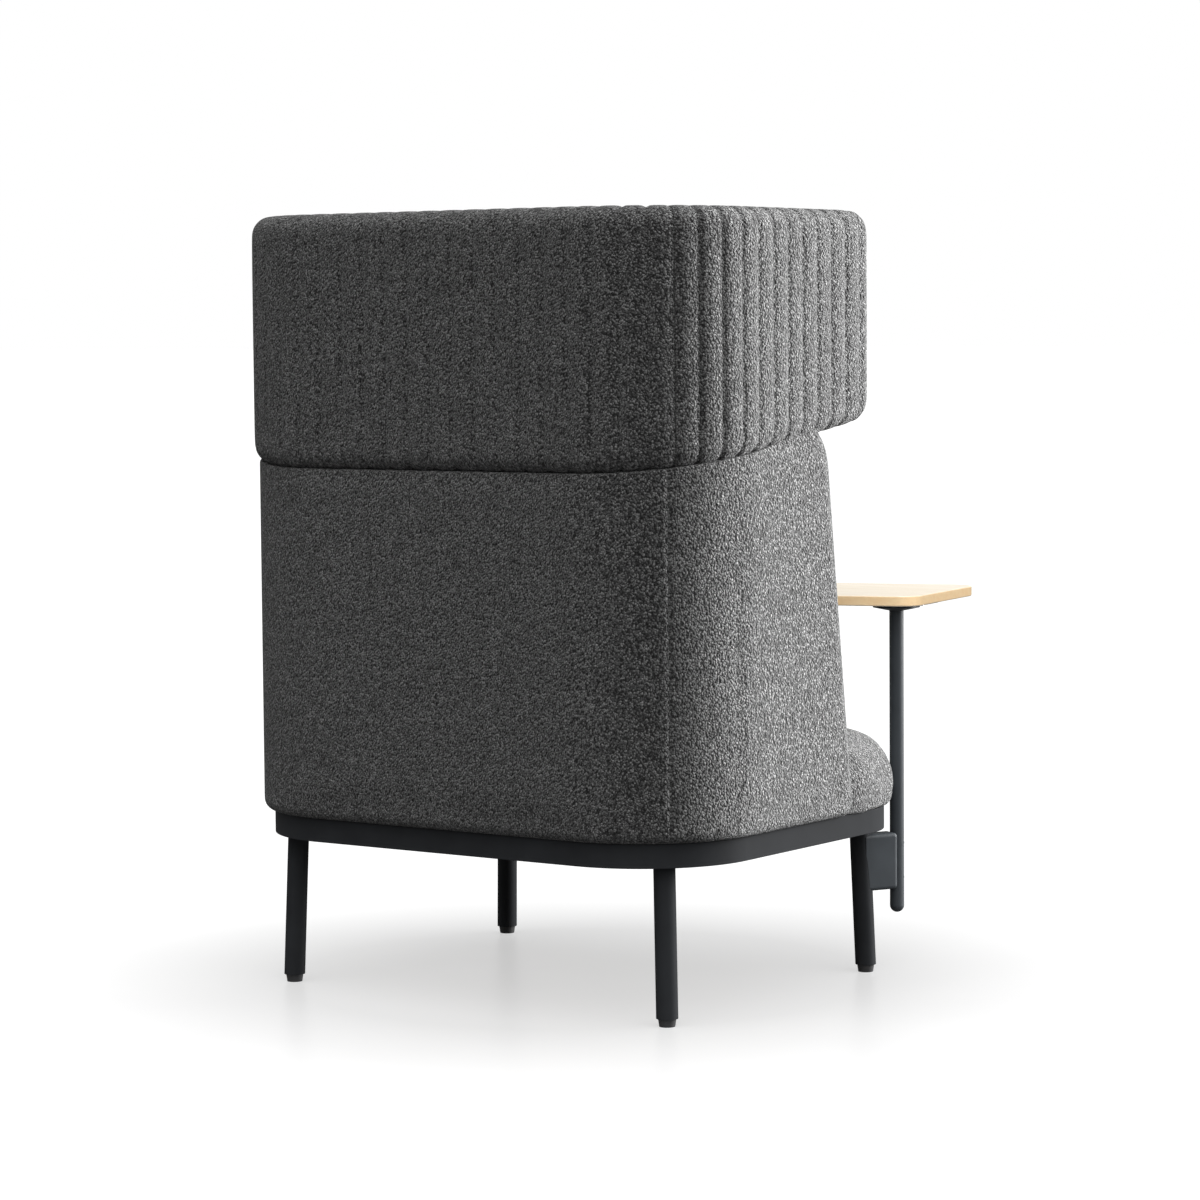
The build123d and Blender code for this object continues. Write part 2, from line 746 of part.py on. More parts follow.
# End cap: half a ball below the tube and a plug inside it
post_axis = Axis((post_x, post_y, 0), (0, 0, 1))
post_side = Plane(origin=(post_x, post_y, 0), x_dir=(1, 0, 0), z_dir=(0, -1, 0))
cap_plug_radius = post_bore - screw_clearance
with BuildPart() as post_end_cap:
    with BuildSketch(post_side):
        with BuildLine():
            RadiusArc((0, post_bottom), (post_diameter / 2, cap_top), -post_diameter / 2)
            Polyline(
                (post_diameter / 2, cap_top),
                (cap_plug_radius, cap_top),
                (cap_plug_radius, cap_top + cap_plug),
                (0, cap_top + cap_plug),
                (0, post_bottom),
            )
        make_face()
    revolve(axis=post_axis)
post_end_cap.part.label = "post_end_cap"
export_step(post_end_cap.part, "parts/post_end_cap.step")

# Bush: a plastic sleeve in the top of the post, with a collar that the flange runs on
bush_bore = spigot_diameter / 2 + spigot_clearance
bush_radius = post_bore - screw_clearance
with BuildPart() as post_bush:
    with BuildSketch(post_side):
        with BuildLine():
            Polyline(
                (bush_bore, tube_top - bush_length),
                (bush_radius, tube_top - bush_length),
                (bush_radius, tube_top),
                (post_diameter / 2, tube_top),
                (post_diameter / 2, tube_top + bush_collar),
                (bush_bore, tube_top + bush_collar),
                close=True,
            )
        make_face()
    revolve(axis=post_axis)
post_bush.part.label = "post_bush"
export_step(post_bush.part, "parts/post_bush.step")

# Flange: a thin conical disc with a spigot that turns in the bush
with BuildPart() as table_flange:
    with BuildSketch(post_side):
        with BuildLine():
            Polyline(
                (0, post_top - spigot_length),
                (spigot_diameter / 2, post_top - spigot_length),
                (spigot_diameter / 2, post_top),
                (flange_hub / 2, post_top),
                (flange_diameter / 2, plate_bottom - flange_rim),
                (flange_diameter / 2, plate_bottom),
                (0, plate_bottom),
                close=True,
            )
        make_face()
    revolve(axis=post_axis)
table_flange.part.label = "table_flange"
export_step(table_flange.part, "parts/table_flange.step")

# Table plate: a round end over the flange and a tongue along the table's outer side, screwed to the board
plate_angle = math.radians(table_turn - table_flare)
plate_plane = Plane(
    origin=(post_x, post_y, plate_bottom),
    x_dir=(math.cos(plate_angle), math.sin(plate_angle), 0),
    z_dir=(0, 0, 1),
)
plate_middle_x = plate_width / 2 - plate_outside_post
plate_screw_y = plate_screw_from_front - plate_length
with BuildPart() as table_plate:
    with BuildSketch(plate_plane):
        with Locations((plate_middle_x, -plate_length / 2)):
            RectangleRounded(plate_width, plate_length, plate_corner)
        Circle(plate_outside_post)
        with Locations((plate_middle_x, plate_screw_y)):
            with GridLocations(plate_screw_spread_x, plate_screw_spread_y, 2, 2):
                Circle(plate_screw_diameter / 2 + screw_clearance, mode=Mode.SUBTRACT)
    extrude(amount=plate_thickness)
table_plate.part.label = "table_plate"
export_step(table_plate.part, "parts/table_plate.step")

with BuildPart() as plate_screws:
    with BuildSketch(plate_plane):
        with Locations((plate_middle_x, plate_screw_y)):
            with GridLocations(plate_screw_spread_x, plate_screw_spread_y, 2, 2):
                Circle(plate_screw_head / 2)
    extrude(amount=-plate_screw_head_height)
    with BuildSketch(plate_plane):
        with Locations((plate_middle_x, plate_screw_y)):
            with GridLocations(plate_screw_spread_x, plate_screw_spread_y, 2, 2):
                Circle(plate_screw_diameter / 2)
    extrude(amount=plate_thickness + plate_screw_bite - screw_clearance)
plate_screws.part.label = "plate_screws"
export_step(plate_screws.part, "parts/plate_screws.step")

# Table top: a board that widens toward its far edge, with rounded corners and softened edges
table_angle = math.radians(table_turn)
table_plane = Plane(
    origin=(post_x, post_y, table_bottom),
    x_dir=(math.cos(table_angle), math.sin(table_angle), 0),
    z_dir=(0, 0, 1),
)
table_spread = table_depth * math.tan(math.radians(table_flare))
with BuildPart() as table_top:
    with BuildSketch(table_plane) as board:
        Polygon(
            (-table_outside_post, table_behind_post),
            (table_width - table_outside_post, table_behind_post),
            (table_width - table_outside_post + table_spread, table_behind_post - table_depth),
            (-table_outside_post - table_spread, table_behind_post - table_depth),
            align=None,
        )
        fillet(board.vertices(), table_corner)
    extrude(amount=table_thickness)
    fillet(table_top.faces().sort_by(Axis.Z)[-1].edges(), table_edge)
    fillet(table_top.faces().sort_by(Axis.Z)[0].edges(), table_edge)
    with BuildSketch(plate_plane.offset(plate_thickness)):
        with Locations((plate_middle_x, plate_screw_y)):
            with GridLocations(plate_screw_spread_x, plate_screw_spread_y, 2, 2):
                Circle(plate_screw_diameter / 2 + screw_clearance)
    extrude(amount=plate_screw_bite, mode=Mode.SUBTRACT)
table_top.part.label = "table_top"
export_step(table_top.part, "parts/table_top.step")
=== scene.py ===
import bmesh
import bpy
import math
from mathutils import Matrix, Quaternion, Vector


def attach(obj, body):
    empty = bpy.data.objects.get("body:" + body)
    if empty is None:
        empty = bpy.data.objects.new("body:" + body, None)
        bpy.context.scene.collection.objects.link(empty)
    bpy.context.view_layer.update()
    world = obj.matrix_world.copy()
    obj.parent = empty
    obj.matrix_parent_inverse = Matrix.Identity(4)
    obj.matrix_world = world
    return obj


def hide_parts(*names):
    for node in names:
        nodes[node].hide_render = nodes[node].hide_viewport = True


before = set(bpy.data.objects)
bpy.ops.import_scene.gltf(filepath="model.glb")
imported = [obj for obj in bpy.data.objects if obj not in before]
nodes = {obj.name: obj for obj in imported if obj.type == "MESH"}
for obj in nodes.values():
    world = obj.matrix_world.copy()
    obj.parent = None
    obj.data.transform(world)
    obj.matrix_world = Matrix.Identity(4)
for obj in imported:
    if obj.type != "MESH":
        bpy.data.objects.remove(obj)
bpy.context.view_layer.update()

scene = bpy.context.scene


# Studio: a plain pale floor in an even white room, a broad soft key light from the sofa's front right
# and a weaker soft light from above. The camera stands low behind the sofa's right rear corner.
def new_finish(name):
    """A new material, its node tree and its shader."""
    material = bpy.data.materials.new(name)
    material.use_nodes = True
    return material, material.node_tree, material.node_tree.nodes["Principled BSDF"]


def add_node(tree, kind, settings=None, **inputs):
    """Adds a shader node, sets its settings, and links or fills the inputs named."""
    made = tree.nodes.new("ShaderNode" + kind)
    for name, value in (settings or {}).items():
        setattr(made, name, value)
    for name, value in inputs.items():
        socket = made.inputs[name.replace("_", " ")]
        if isinstance(value, bpy.types.NodeSocket):
            tree.links.new(value, socket)
        else:
            socket.default_value = value
    return made


def calculate(tree, operation, first, second=0.0):
    """A sum, product or other reckoning with one or two values."""
    made = tree.nodes.new("ShaderNodeMath")
    made.operation = operation
    for socket, value in zip(made.inputs, (first, second)):
        if isinstance(value, bpy.types.NodeSocket):
            tree.links.new(value, socket)
        else:
            socket.default_value = value
    return made.outputs[0]


def colour_steps(tree, value, *steps):
    """Turns a value into a colour through the steps given as (place, red, green, blue)."""
    made = tree.nodes.new("ShaderNodeValToRGB")
    stops = made.color_ramp.elements
    while len(stops) < len(steps):
        stops.new(1)
    for stop, (place, *colour) in zip(stops, steps):
        stop.position = place
        stop.color = (*colour, 1)
    tree.links.new(value, made.inputs["Fac"])
    return made.outputs["Color"]


def own_place(tree, turn=0.0, stretch=(1, 1, 1), centre=(0, 0, 0)):
    """The piece's own coordinates in metres, turned about an upright axis and stretched."""
    place = add_node(tree, "TexCoord").outputs["Object"]
    centred = add_node(tree, "Mapping", Vector=place, Location=tuple(-c for c in centre))
    turned = add_node(tree, "Mapping", Vector=centred.outputs[0], Rotation=(0, 0, turn), Scale=stretch)
    return turned.outputs[0]


floor_mesh = bpy.data.meshes.new("studio_floor")
floor_shape = bmesh.new()
bmesh.ops.create_grid(floor_shape, x_segments=8, y_segments=8, size=150)
floor_shape.to_mesh(floor_mesh)
floor_shape.free()
floor = bpy.data.objects.new("studio_floor", floor_mesh)
scene.collection.objects.link(floor)
floor_paint, tree, shader = new_finish("floor_paint")
scuff = add_node(tree, "TexNoise", Vector=own_place(tree), Scale=3.0, Detail=6.0).outputs["Fac"]
floor_grey = colour_steps(tree, scuff, (0.3, 0.24, 0.24, 0.24), (0.7, 0.26, 0.26, 0.26))
tree.links.new(floor_grey, shader.inputs["Base Color"])
floor_gloss = add_node(tree, "MapRange", Value=scuff, To_Min=0.25, To_Max=0.4).outputs[0]
tree.links.new(floor_gloss, shader.inputs["Roughness"])
# Painted light: the floor glows for the camera alone and glows less near the sofa, so a painted shadow lies round
# the sofa while the floor further out reads white.
seen = add_node(tree, "LightPath").outputs["Is Camera Ray"]
away = add_node(tree, "VectorMath", {"operation": "LENGTH"})
tree.links.new(own_place(tree), away.inputs[0])
painted_shadow_floor_glow = add_node(
    tree, "MapRange", Value=away.outputs["Value"], From_Min=0.5, From_Max=1.05, To_Min=0.53, To_Max=0.8,
).outputs[0]
tree.links.new(calculate(tree, "MULTIPLY", seen, painted_shadow_floor_glow), shader.inputs["Emission Strength"])
shader.inputs["Emission Color"].default_value = (1, 1, 1, 1)
below = add_node(tree, "NewGeometry").outputs["Backfacing"]
one_sided = add_node(tree, "MixShader", Fac=below)
tree.links.new(shader.outputs["BSDF"], one_sided.inputs[1])
tree.links.new(add_node(tree, "BsdfTransparent").outputs["BSDF"], one_sided.inputs[2])
tree.links.new(one_sided.outputs["Shader"], tree.nodes["Material Output"].inputs["Surface"])
floor_mesh.materials.append(floor_paint)

world = bpy.data.worlds.new("white_room")
world.use_nodes = True
room = world.node_tree.nodes["Background"]
room.inputs["Color"].default_value = (1, 1, 1, 1)
seen = add_node(world.node_tree, "LightPath").outputs["Is Camera Ray"]
glow = add_node(world.node_tree, "MapRange", Value=seen, To_Min=0.3, To_Max=1.0).outputs[0]
world.node_tree.links.new(glow, room.inputs["Strength"])
scene.world = world
upholstery = bpy.data.collections.new("upholstery")
dark_pieces = bpy.data.collections.new("dark_pieces")
for place, pale in enumerate((floor, nodes["table_top"])):
    dark_pieces.objects.link(pale)
    dark_pieces.collection_objects[place].light_linking.link_state = "EXCLUDE"
lit_place = Vector((-0.1, 0, 0.75))
for name, power, receivers in (("key_light", 900, dark_pieces), ("cloth_light", 2300, upholstery)):
    key_data = bpy.data.lights.new(name, "AREA")
    key_data.shape = "RECTANGLE"
    key_data.size = 3.2
    key_data.size_y = 2.7
    key_data.energy = power
    key_light = bpy.data.objects.new(name, key_data)
    key_light.location = (-3.7, -4.6, 1.9)
    key_light.rotation_mode = "QUATERNION"
    key_light.rotation_quaternion = (lit_place - key_light.location).to_track_quat("-Z", "Y")
    key_light.visible_camera = False
    key_light.light_linking.receiver_collection = receivers
    scene.collection.objects.link(key_light)
for name, power, spread, toward, receivers in (
    ("top_light", 4.2, 100, (0.35, -0.3, -0.89), None),
    ("overhead_light", 3.4, 60, (0.05, -0.1, -1), dark_pieces),
):
    top_data = bpy.data.lights.new(name, "SUN")
    top_data.energy = power
    top_data.angle = math.radians(spread)
    top_light = bpy.data.objects.new(name, top_data)
    top_light.rotation_mode = "QUATERNION"
    top_light.rotation_quaternion = Vector(toward).to_track_quat("-Z", "Y")
    top_light.light_linking.receiver_collection = receivers
    scene.collection.objects.link(top_light)
scene.view_settings.view_transform = "Standard"

camera_yaw = math.radians(35.28)
camera_pitch = math.radians(4.18)
camera_roll = math.radians(0.45)
camera_data = bpy.data.cameras.new("photo_camera")
camera_data.sensor_width = 36
camera_data.lens = 112.5
camera_data.clip_end = 500
camera = bpy.data.objects.new("photo_camera", camera_data)
camera.location = (-3.756, 5.244, 1.126)
looking = Vector((
    math.sin(camera_yaw) * math.cos(camera_pitch),
    -math.cos(camera_yaw) * math.cos(camera_pitch),
    -math.sin(camera_pitch),
))
camera.rotation_mode = "QUATERNION"
camera.rotation_quaternion = looking.to_track_quat("-Z", "Y") @ Quaternion((0, 0, 1), -camera_roll)
scene.collection.objects.link(camera)
scene.camera = camera


# Base: a flat steel band bent to a rounded ring, four splayed tube legs, welded gussets and two rails.
# All of it is powder coated a matt charcoal black, with the fine orange peel of the baked powder.
def mixed(tree, share, first, second, way="MIX"):
    """Mixes two colours by a share."""
    made = tree.nodes.new("ShaderNodeMix")
    made.data_type = "RGBA"
    made.blend_type = way
    for socket, value in zip((made.inputs[0], made.inputs[6], made.inputs[7]), (share, first, second)):
        if isinstance(value, bpy.types.NodeSocket):
            tree.links.new(value, socket)
        elif isinstance(value, tuple):
            socket.default_value = (*value, 1)
        else:
            socket.default_value = value
    return made.outputs[2]


def raise_surface(tree, shader, height, strength, distance):
    """Gives the shader a bump from a height."""
    bump = add_node(tree, "Bump", Height=height, Strength=strength, Distance=distance)
    tree.links.new(bump.outputs["Normal"], shader.inputs["Normal"])


def paint_nodes(material, *names):
    """Gives CAD nodes a material."""
    for name in names:
        mesh = nodes[name].data
        mesh.materials.clear()
        mesh.materials.append(material)


coat_group = bpy.data.node_groups.new("powder_coat", "ShaderNodeTree")
for name, kind in (("Place", "NodeSocketVector"), ("Paint", "NodeSocketColor"), ("Roughness", "NodeSocketFloat")):
    coat_group.interface.new_socket(name, in_out="INPUT", socket_type=kind)
for name, kind in (("Colour", "NodeSocketColor"), ("Roughness", "NodeSocketFloat"), ("Peel", "NodeSocketFloat")):
    coat_group.interface.new_socket(name, in_out="OUTPUT", socket_type=kind)
coat_in = coat_group.nodes.new("NodeGroupInput").outputs
coat_out = coat_group.nodes.new("NodeGroupOutput").inputs
peel = add_node(coat_group, "TexNoise", Vector=coat_in["Place"], Scale=650.0, Detail=3.0).outputs["Fac"]
cloudy = add_node(coat_group, "TexNoise", Vector=coat_in["Place"], Scale=14.0, Detail=5.0).outputs["Fac"]
shade = colour_steps(coat_group, cloudy, (0.3, 0.82, 0.82, 0.82), (0.7, 1.12, 1.12, 1.12))
coat_group.links.new(mixed(coat_group, 1.0, coat_in["Paint"], shade, "MULTIPLY"), coat_out["Colour"])
uneven = add_node(coat_group, "MapRange", Value=cloudy, To_Min=-0.05, To_Max=0.07).outputs[0]
coat_group.links.new(calculate(coat_group, "ADD", coat_in["Roughness"], uneven), coat_out["Roughness"])
coat_group.links.new(peel, coat_out["Peel"])


def powder_coat(name, paint, roughness, shine):
    """A powder-coated steel of one colour."""
    material, tree, shader = new_finish(name)
    coat = tree.nodes.new("ShaderNodeGroup")
    coat.node_tree = coat_group
    tree.links.new(own_place(tree), coat.inputs["Place"])
    coat.inputs["Paint"].default_value = (*paint, 1)
    coat.inputs["Roughness"].default_value = roughness
    tree.links.new(coat.outputs["Colour"], shader.inputs["Base Color"])
    tree.links.new(coat.outputs["Roughness"], shader.inputs["Roughness"])
    shader.inputs["Specular IOR Level"].default_value = shine
    raise_surface(tree, shader, coat.outputs["Peel"], 0.12, 0.0004)
    return material


base_coat = powder_coat("charcoal_powder_coat", (0.0155, 0.0165, 0.0182), 0.65, 0.06)
paint_nodes(
    base_coat, "base_ring", "leg_plates", "cross_rails",
    "leg_front_right", "leg_front_left", "leg_rear_right", "leg_rear_left",
)

# Glides and bush: black moulded plastic, matt, with a fine spark-eroded grain.
# The glides plug into the legs, and the bush sits in the top of the table's post.
glide_plastic, tree, shader = new_finish("black_plastic")
grain = add_node(tree, "TexNoise", Vector=own_place(tree), Scale=1400.0, Detail=2.0).outputs["Fac"]
moulded_black = colour_steps(tree, grain, (0.3, 0.014, 0.014, 0.015), (0.7, 0.022, 0.022, 0.023))
tree.links.new(moulded_black, shader.inputs["Base Color"])
moulded_gloss = add_node(tree, "MapRange", Value=grain, To_Min=0.5, To_Max=0.66).outputs[0]
tree.links.new(moulded_gloss, shader.inputs["Roughness"])
raise_surface(tree, shader, grain, 0.15, 0.0003)
paint_nodes(
    glide_plastic, "glide_front_right", "glide_front_left", "glide_rear_right", "glide_rear_left", "post_bush",
)

# Fixings: zinc-plated bolts, screws and angle brackets, bright with faint drawn lines and dull patches.
# They hold the legs, the deck, the plywood shell, the post and the table's plate.
zinc_plate, tree, shader = new_finish("zinc_plating")
drawn_out = own_place(tree, stretch=(1, 1, 6))
drawn = add_node(tree, "TexNoise", Vector=drawn_out, Scale=300.0, Detail=4.0).outputs["Fac"]
dull = add_node(tree, "TexNoise", Vector=own_place(tree), Scale=60.0, Detail=3.0).outputs["Fac"]
plated = colour_steps(tree, dull, (0.3, 0.5, 0.52, 0.55), (0.7, 0.66, 0.67, 0.68))
tree.links.new(plated, shader.inputs["Base Color"])
plated_gloss = add_node(tree, "MapRange", Value=drawn, To_Min=0.25, To_Max=0.45).outputs[0]
tree.links.new(plated_gloss, shader.inputs["Roughness"])
shader.inputs["Metallic"].default_value = 1.0
raise_surface(tree, shader, drawn, 0.1, 0.0002)
paint_nodes(
    zinc_plate, "leg_bolts", "deck_screws", "shell_brackets", "shell_screws", "post_screws", "plate_screws",
)

# Deck and shell: birch plywood, a flat deck inside the ring and one bent U inside the upholstery.
# The faces carry a soft birch figure.
wood_group = bpy.data.node_groups.new("wood_grain", "ShaderNodeTree")
for name, kind in (
    ("Place", "NodeSocketVector"), ("Fineness", "NodeSocketFloat"),
    ("Pale", "NodeSocketColor"), ("Dark", "NodeSocketColor"),
):
    wood_group.interface.new_socket(name, in_out="INPUT", socket_type=kind)
for name, kind in (("Colour", "NodeSocketColor"), ("Roughness", "NodeSocketFloat"), ("Pores", "NodeSocketFloat")):
    wood_group.interface.new_socket(name, in_out="OUTPUT", socket_type=kind)
wood_in = wood_group.nodes.new("NodeGroupInput").outputs
wood_out = wood_group.nodes.new("NodeGroupOutput").inputs
figure = add_node(
    wood_group, "TexNoise", Vector=wood_in["Place"], Scale=wood_in["Fineness"], Detail=5.0, Distortion=0.6,
).outputs["Fac"]
finer = calculate(wood_group, "MULTIPLY", wood_in["Fineness"], 7.0)
pores = add_node(wood_group, "TexNoise", Vector=wood_in["Place"], Scale=finer, Detail=3.0).outputs["Fac"]
both = calculate(wood_group, "MULTIPLY_ADD", pores, 0.45)
wood_group.links.new(calculate(wood_group, "MULTIPLY", figure, 0.6), both.node.inputs[2])
share = add_node(wood_group, "MapRange", Value=both, From_Min=0.36, From_Max=0.68).outputs[0]
wood_group.links.new(mixed(wood_group, share, wood_in["Pale"], wood_in["Dark"]), wood_out["Colour"])
lacquered = add_node(wood_group, "MapRange", Value=pores, To_Min=0.42, To_Max=0.6).outputs[0]
wood_group.links.new(lacquered, wood_out["Roughness"])
wood_group.links.new(pores, wood_out["Pores"])


def wood_finish(name, pale, dark, fineness, turn, stretch):
    """A wood with its grain along one direction of the piece."""
    material, tree, shader = new_finish(name)
    wood = tree.nodes.new("ShaderNodeGroup")
    wood.node_tree = wood_group
    tree.links.new(own_place(tree, turn, stretch), wood.inputs["Place"])
    wood.inputs["Fineness"].default_value = fineness
    wood.inputs["Pale"].default_value = (*pale, 1)
    wood.inputs["Dark"].default_value = (*dark, 1)
    tree.links.new(wood.outputs["Colour"], shader.inputs["Base Color"])
    tree.links.new(wood.outputs["Roughness"], shader.inputs["Roughness"])
    raise_surface(tree, shader, wood.outputs["Pores"], 0.12, 0.0003)
    return material


birch_ply = wood_finish("birch_plywood", (0.72, 0.55, 0.36), (0.5, 0.34, 0.19), 9.0, 0.0, (0.35, 6.0, 22.0))
paint_nodes(birch_ply, "seat_deck", "shell_core")

# Wall: foam pads on both faces of the plywood shell, covered in a salt and pepper charcoal boucle.
# The covers meet in upright seams at the rear corners, roll under at the foot and round over in front.
boucle, tree, shader = new_finish("charcoal_boucle")
place = own_place(tree, stretch=(1, 0.65, 0.75))
wander = add_node(tree, "TexNoise", Vector=place, Scale=230.0, Detail=2.0).outputs["Color"]
bent = add_node(tree, "VectorMath", {"operation": "MULTIPLY_ADD"})
tree.links.new(wander, bent.inputs[0])
bent.inputs[1].default_value = (0.0038, 0.0038, 0.0038)
tree.links.new(place, bent.inputs[2])
loops = add_node(tree, "TexVoronoi", Vector=bent.outputs[0], Scale=360.0)
fibre = add_node(tree, "TexNoise", Vector=place, Scale=1100.0, Detail=3.0).outputs["Fac"]
patchy = add_node(tree, "TexNoise", Vector=place, Scale=22.0, Detail=4.0).outputs["Fac"]
dyed = add_node(tree, "SeparateColor", Color=loops.outputs["Color"]).outputs[0]
speckle = colour_steps(
    tree, dyed,
    (0.0, 0.006, 0.006, 0.006), (0.25, 0.037, 0.037, 0.0372),
    (0.65, 0.08, 0.08, 0.0798), (1.0, 0.148, 0.148, 0.147),
)
dome = add_node(
    tree, "MapRange", Value=loops.outputs["Distance"], From_Min=0.15, From_Max=0.8, To_Min=1.0, To_Max=0.0,
).outputs[0]
# Painted shade: the cloth darkens toward each loop's edge, as shade falls in the hollows between the loops.
painted_shade_in_hollows = colour_steps(tree, dome, (0.24, 0.08, 0.08, 0.08), (0.55, 1.0, 1.0, 1.0))
worn = colour_steps(tree, patchy, (0.3, 0.92, 0.92, 0.92), (0.7, 1.06, 1.06, 1.06))
seam = add_node(tree, "Attribute", {"attribute_name": "seam"}).outputs["Fac"]
# Painted shade: the cloth darkens along the marked seams and stitch lines, to 0.7 where the mark is full, as
# shade falls in their creases.
painted_seam_shade = colour_steps(tree, seam, (0.5, 1.0, 1.0, 1.0), (1.0, 0.7, 0.7, 0.7))
cloth_colour = mixed(tree, 1.0, speckle, painted_shade_in_hollows, "MULTIPLY")
cloth_colour = mixed(tree, 1.0, cloth_colour, worn, "MULTIPLY")
cloth_colour = mixed(tree, 1.0, cloth_colour, painted_seam_shade, "MULTIPLY")
tree.links.new(cloth_colour, shader.inputs["Base Color"])
fuzzy = add_node(tree, "MapRange", Value=fibre, To_Min=0.8, To_Max=1.0).outputs[0]
tree.links.new(fuzzy, shader.inputs["Roughness"])
shader.inputs["Sheen Weight"].default_value = 0.12
shader.inputs["Sheen Roughness"].default_value = 0.4
shader.inputs["Specular IOR Level"].default_value = 0.2
pile = calculate(tree, "MULTIPLY_ADD", fibre, 0.3)
tree.links.new(dome, pile.node.inputs[2])
raise_surface(tree, shader, pile, 1.0, 0.0055)

corner = Vector((-0.269, 0.191, 0))
back_run = 0.538
deck_level = 0.3
hood_back_face = 0.414


def hood_low(y):
    """Height of the hood's lower face, which rises toward the front."""
    return 0.886 + 0.135 * (hood_back_face - y)


def start_section(shape, corners, rows):
    """A closed section standing across the band at the right rear corner seam.
    Its corners are (distance from the corner's middle, height, rounding), and its sides are divided into rows."""
    shape.verts.layers.float.new("seam")
    sharp = shape.edges.layers.float.new("crease_edge")
    points = [shape.verts.new(corner + Vector((reach, 0, height))) for reach, height, rounding in corners]
    shape.faces.new(points)
    for point, (reach, height, rounding) in zip(points, corners):
        bmesh.ops.bevel(
            shape, geom=[point], affect="VERTICES", offset=rounding, segments=6, profile=0.5, material=-1,
        )
    for edge in list(shape.edges):
        cuts = int(edge.calc_length() / rows)
        if cuts:
            bmesh.ops.subdivide_edges(shape, edges=[edge], cuts=cuts)
    bmesh.ops.rotate(shape, verts=shape.verts, cent=corner, matrix=Matrix.Rotation(math.radians(135), 3, "Z"))
    for edge in shape.edges:
        edge[sharp] = 1
    return list(shape.edges), list(shape.verts)


def carry_section(shape, rim, radius, start, end):
    """Extrudes the open rim of a band on round the sofa, between two travels along its outside.
    Travel counts from the right rear corner seam, forward along the right side when negative."""
    made = bmesh.ops.extrude_edge_only(shape, edges=rim)["geom"]
    verts = [item for item in made if isinstance(item, bmesh.types.BMVert)]
    ring = set(verts)
    quarter = radius * math.pi / 4

    def within(travel, low, high):
        return min(max(travel, low), high)

    turn = within(end, -quarter, quarter) - within(start, -quarter, quarter)
    bmesh.ops.rotate(shape, verts=verts, cent=corner, matrix=Matrix.Rotation(-turn / radius, 3, "Z"))
    ahead = within(end, -9, -quarter) - within(start, -9, -quarter)
    aside = within(end, quarter, quarter + back_run) - within(start, quarter, quarter + back_run)
    bmesh.ops.translate(shape, verts=verts, vec=(aside, ahead, 0))
    turn = max(end - quarter - back_run, 0) - max(start - quarter - back_run, 0)
    left_corner = Vector((-corner.x, corner.y, 0))
    bmesh.ops.rotate(shape, verts=verts, cent=left_corner, matrix=Matrix.Rotation(-turn / radius, 3, "Z"))
    edges = [item for item in made if isinstance(item, bmesh.types.BMEdge) and ring.issuperset(item.verts)]
    return edges, verts


def close_seam(shape, rim):
    """Caps the end of a band at a corner seam, with a sharp edge that meets its neighbour."""
    sharp = shape.edges.layers.float["crease_edge"]
    for edge in rim:
        edge[sharp] = 1
    bmesh.ops.contextual_create(shape, geom=rim)


def round_off(shape, rim, verts, radius, start, length, depth, steps=5):
    """Ends a side's band in a rounded front edge: rings that draw in along a quarter round, then a cap."""
    low = Vector(min(v.co[axis] for v in verts) for axis in range(3))
    high = Vector(max(v.co[axis] for v in verts) for axis in range(3))
    half = (high - low) / 2
    before = 0.0
    taken = 0.0
    for step in range(1, steps + 1):
        angle = math.radians(80) * step / steps
        along, inset = length * math.sin(angle), depth * (1 - math.cos(angle))
        rim, verts = carry_section(shape, rim, radius, start - before, start - along)
        narrower = [(half[axis] - inset) / (half[axis] - taken) for axis in (0, 2)]
        middle = sum((v.co for v in verts), Vector()) / len(verts)
        middle.x, middle.z = (low.x + high.x) / 2, (low.z + high.z) / 2
        bmesh.ops.scale(
            shape, verts=verts, vec=(narrower[0], 1, narrower[1]), space=Matrix.Translation(-middle),
        )
        before, taken = along, inset
    bmesh.ops.triangle_fill(shape, use_beauty=True, edges=rim)


def sewn_piece(name, shape, seams):
    """Makes the object of a sewn cover and marks its seams with the strength of the painted shade that the cloth
    puts along them.
    """
    bmesh.ops.recalc_face_normals(shape, faces=shape.faces)
    mark = shape.verts.layers.float["seam"]
    for verts, depth in seams:
        for vert in verts:
            vert[mark] = depth
    mesh = bpy.data.meshes.new(name)
    shape.to_mesh(mesh)
    shape.free()
    mesh.shade_smooth()
    mesh.materials.append(boucle)
    piece = bpy.data.objects.new(name, mesh)
    scene.collection.objects.link(piece)
    return piece


def swell(piece, held, pressure, limit):
    """Fills a sewn cover: cloth under pressure without gravity, held at the points given.
    No point moves further than the limit, and none moves inward."""
    pins = piece.vertex_groups.new(name="held")
    pins.add(held, 1.0, "REPLACE")
    filling = piece.modifiers.new("filling", "CLOTH")
    filling.settings.quality = 4
    filling.settings.vertex_group_mass = "held"
    filling.settings.use_pressure = True
    filling.settings.uniform_pressure_force = pressure
    filling.settings.effector_weights.gravity = 0
    filling.settings.bending_stiffness = 0.2
    last_moment = 20
    filling.point_cache.frame_start = 1
    filling.point_cache.frame_end = last_moment
    for moment in range(1, last_moment + 1):
        scene.frame_set(moment)
    filled = bpy.data.meshes.new_from_object(piece.evaluated_get(bpy.context.evaluated_depsgraph_get()))
    for vert, after in zip(piece.data.vertices, filled.vertices):
        moved = after.co - vert.co
        if moved.dot(vert.normal) < 0:
            moved *= 0
        elif moved.length > limit:
            moved *= limit / moved.length
        vert.co += moved
    bpy.data.meshes.remove(filled)
    piece.modifiers.remove(filling)
    scene.frame_set(1)


def mirrored(name, piece):
    """The left twin of a piece made for the sofa's right side."""
    twin = bpy.data.objects.new(name, piece.data.copy())
    twin.data.transform(Matrix.Scale(-1, 4, (1, 0, 0)))
    twin.data.flip_normals()
    scene.collection.objects.link(twin)
    return twin


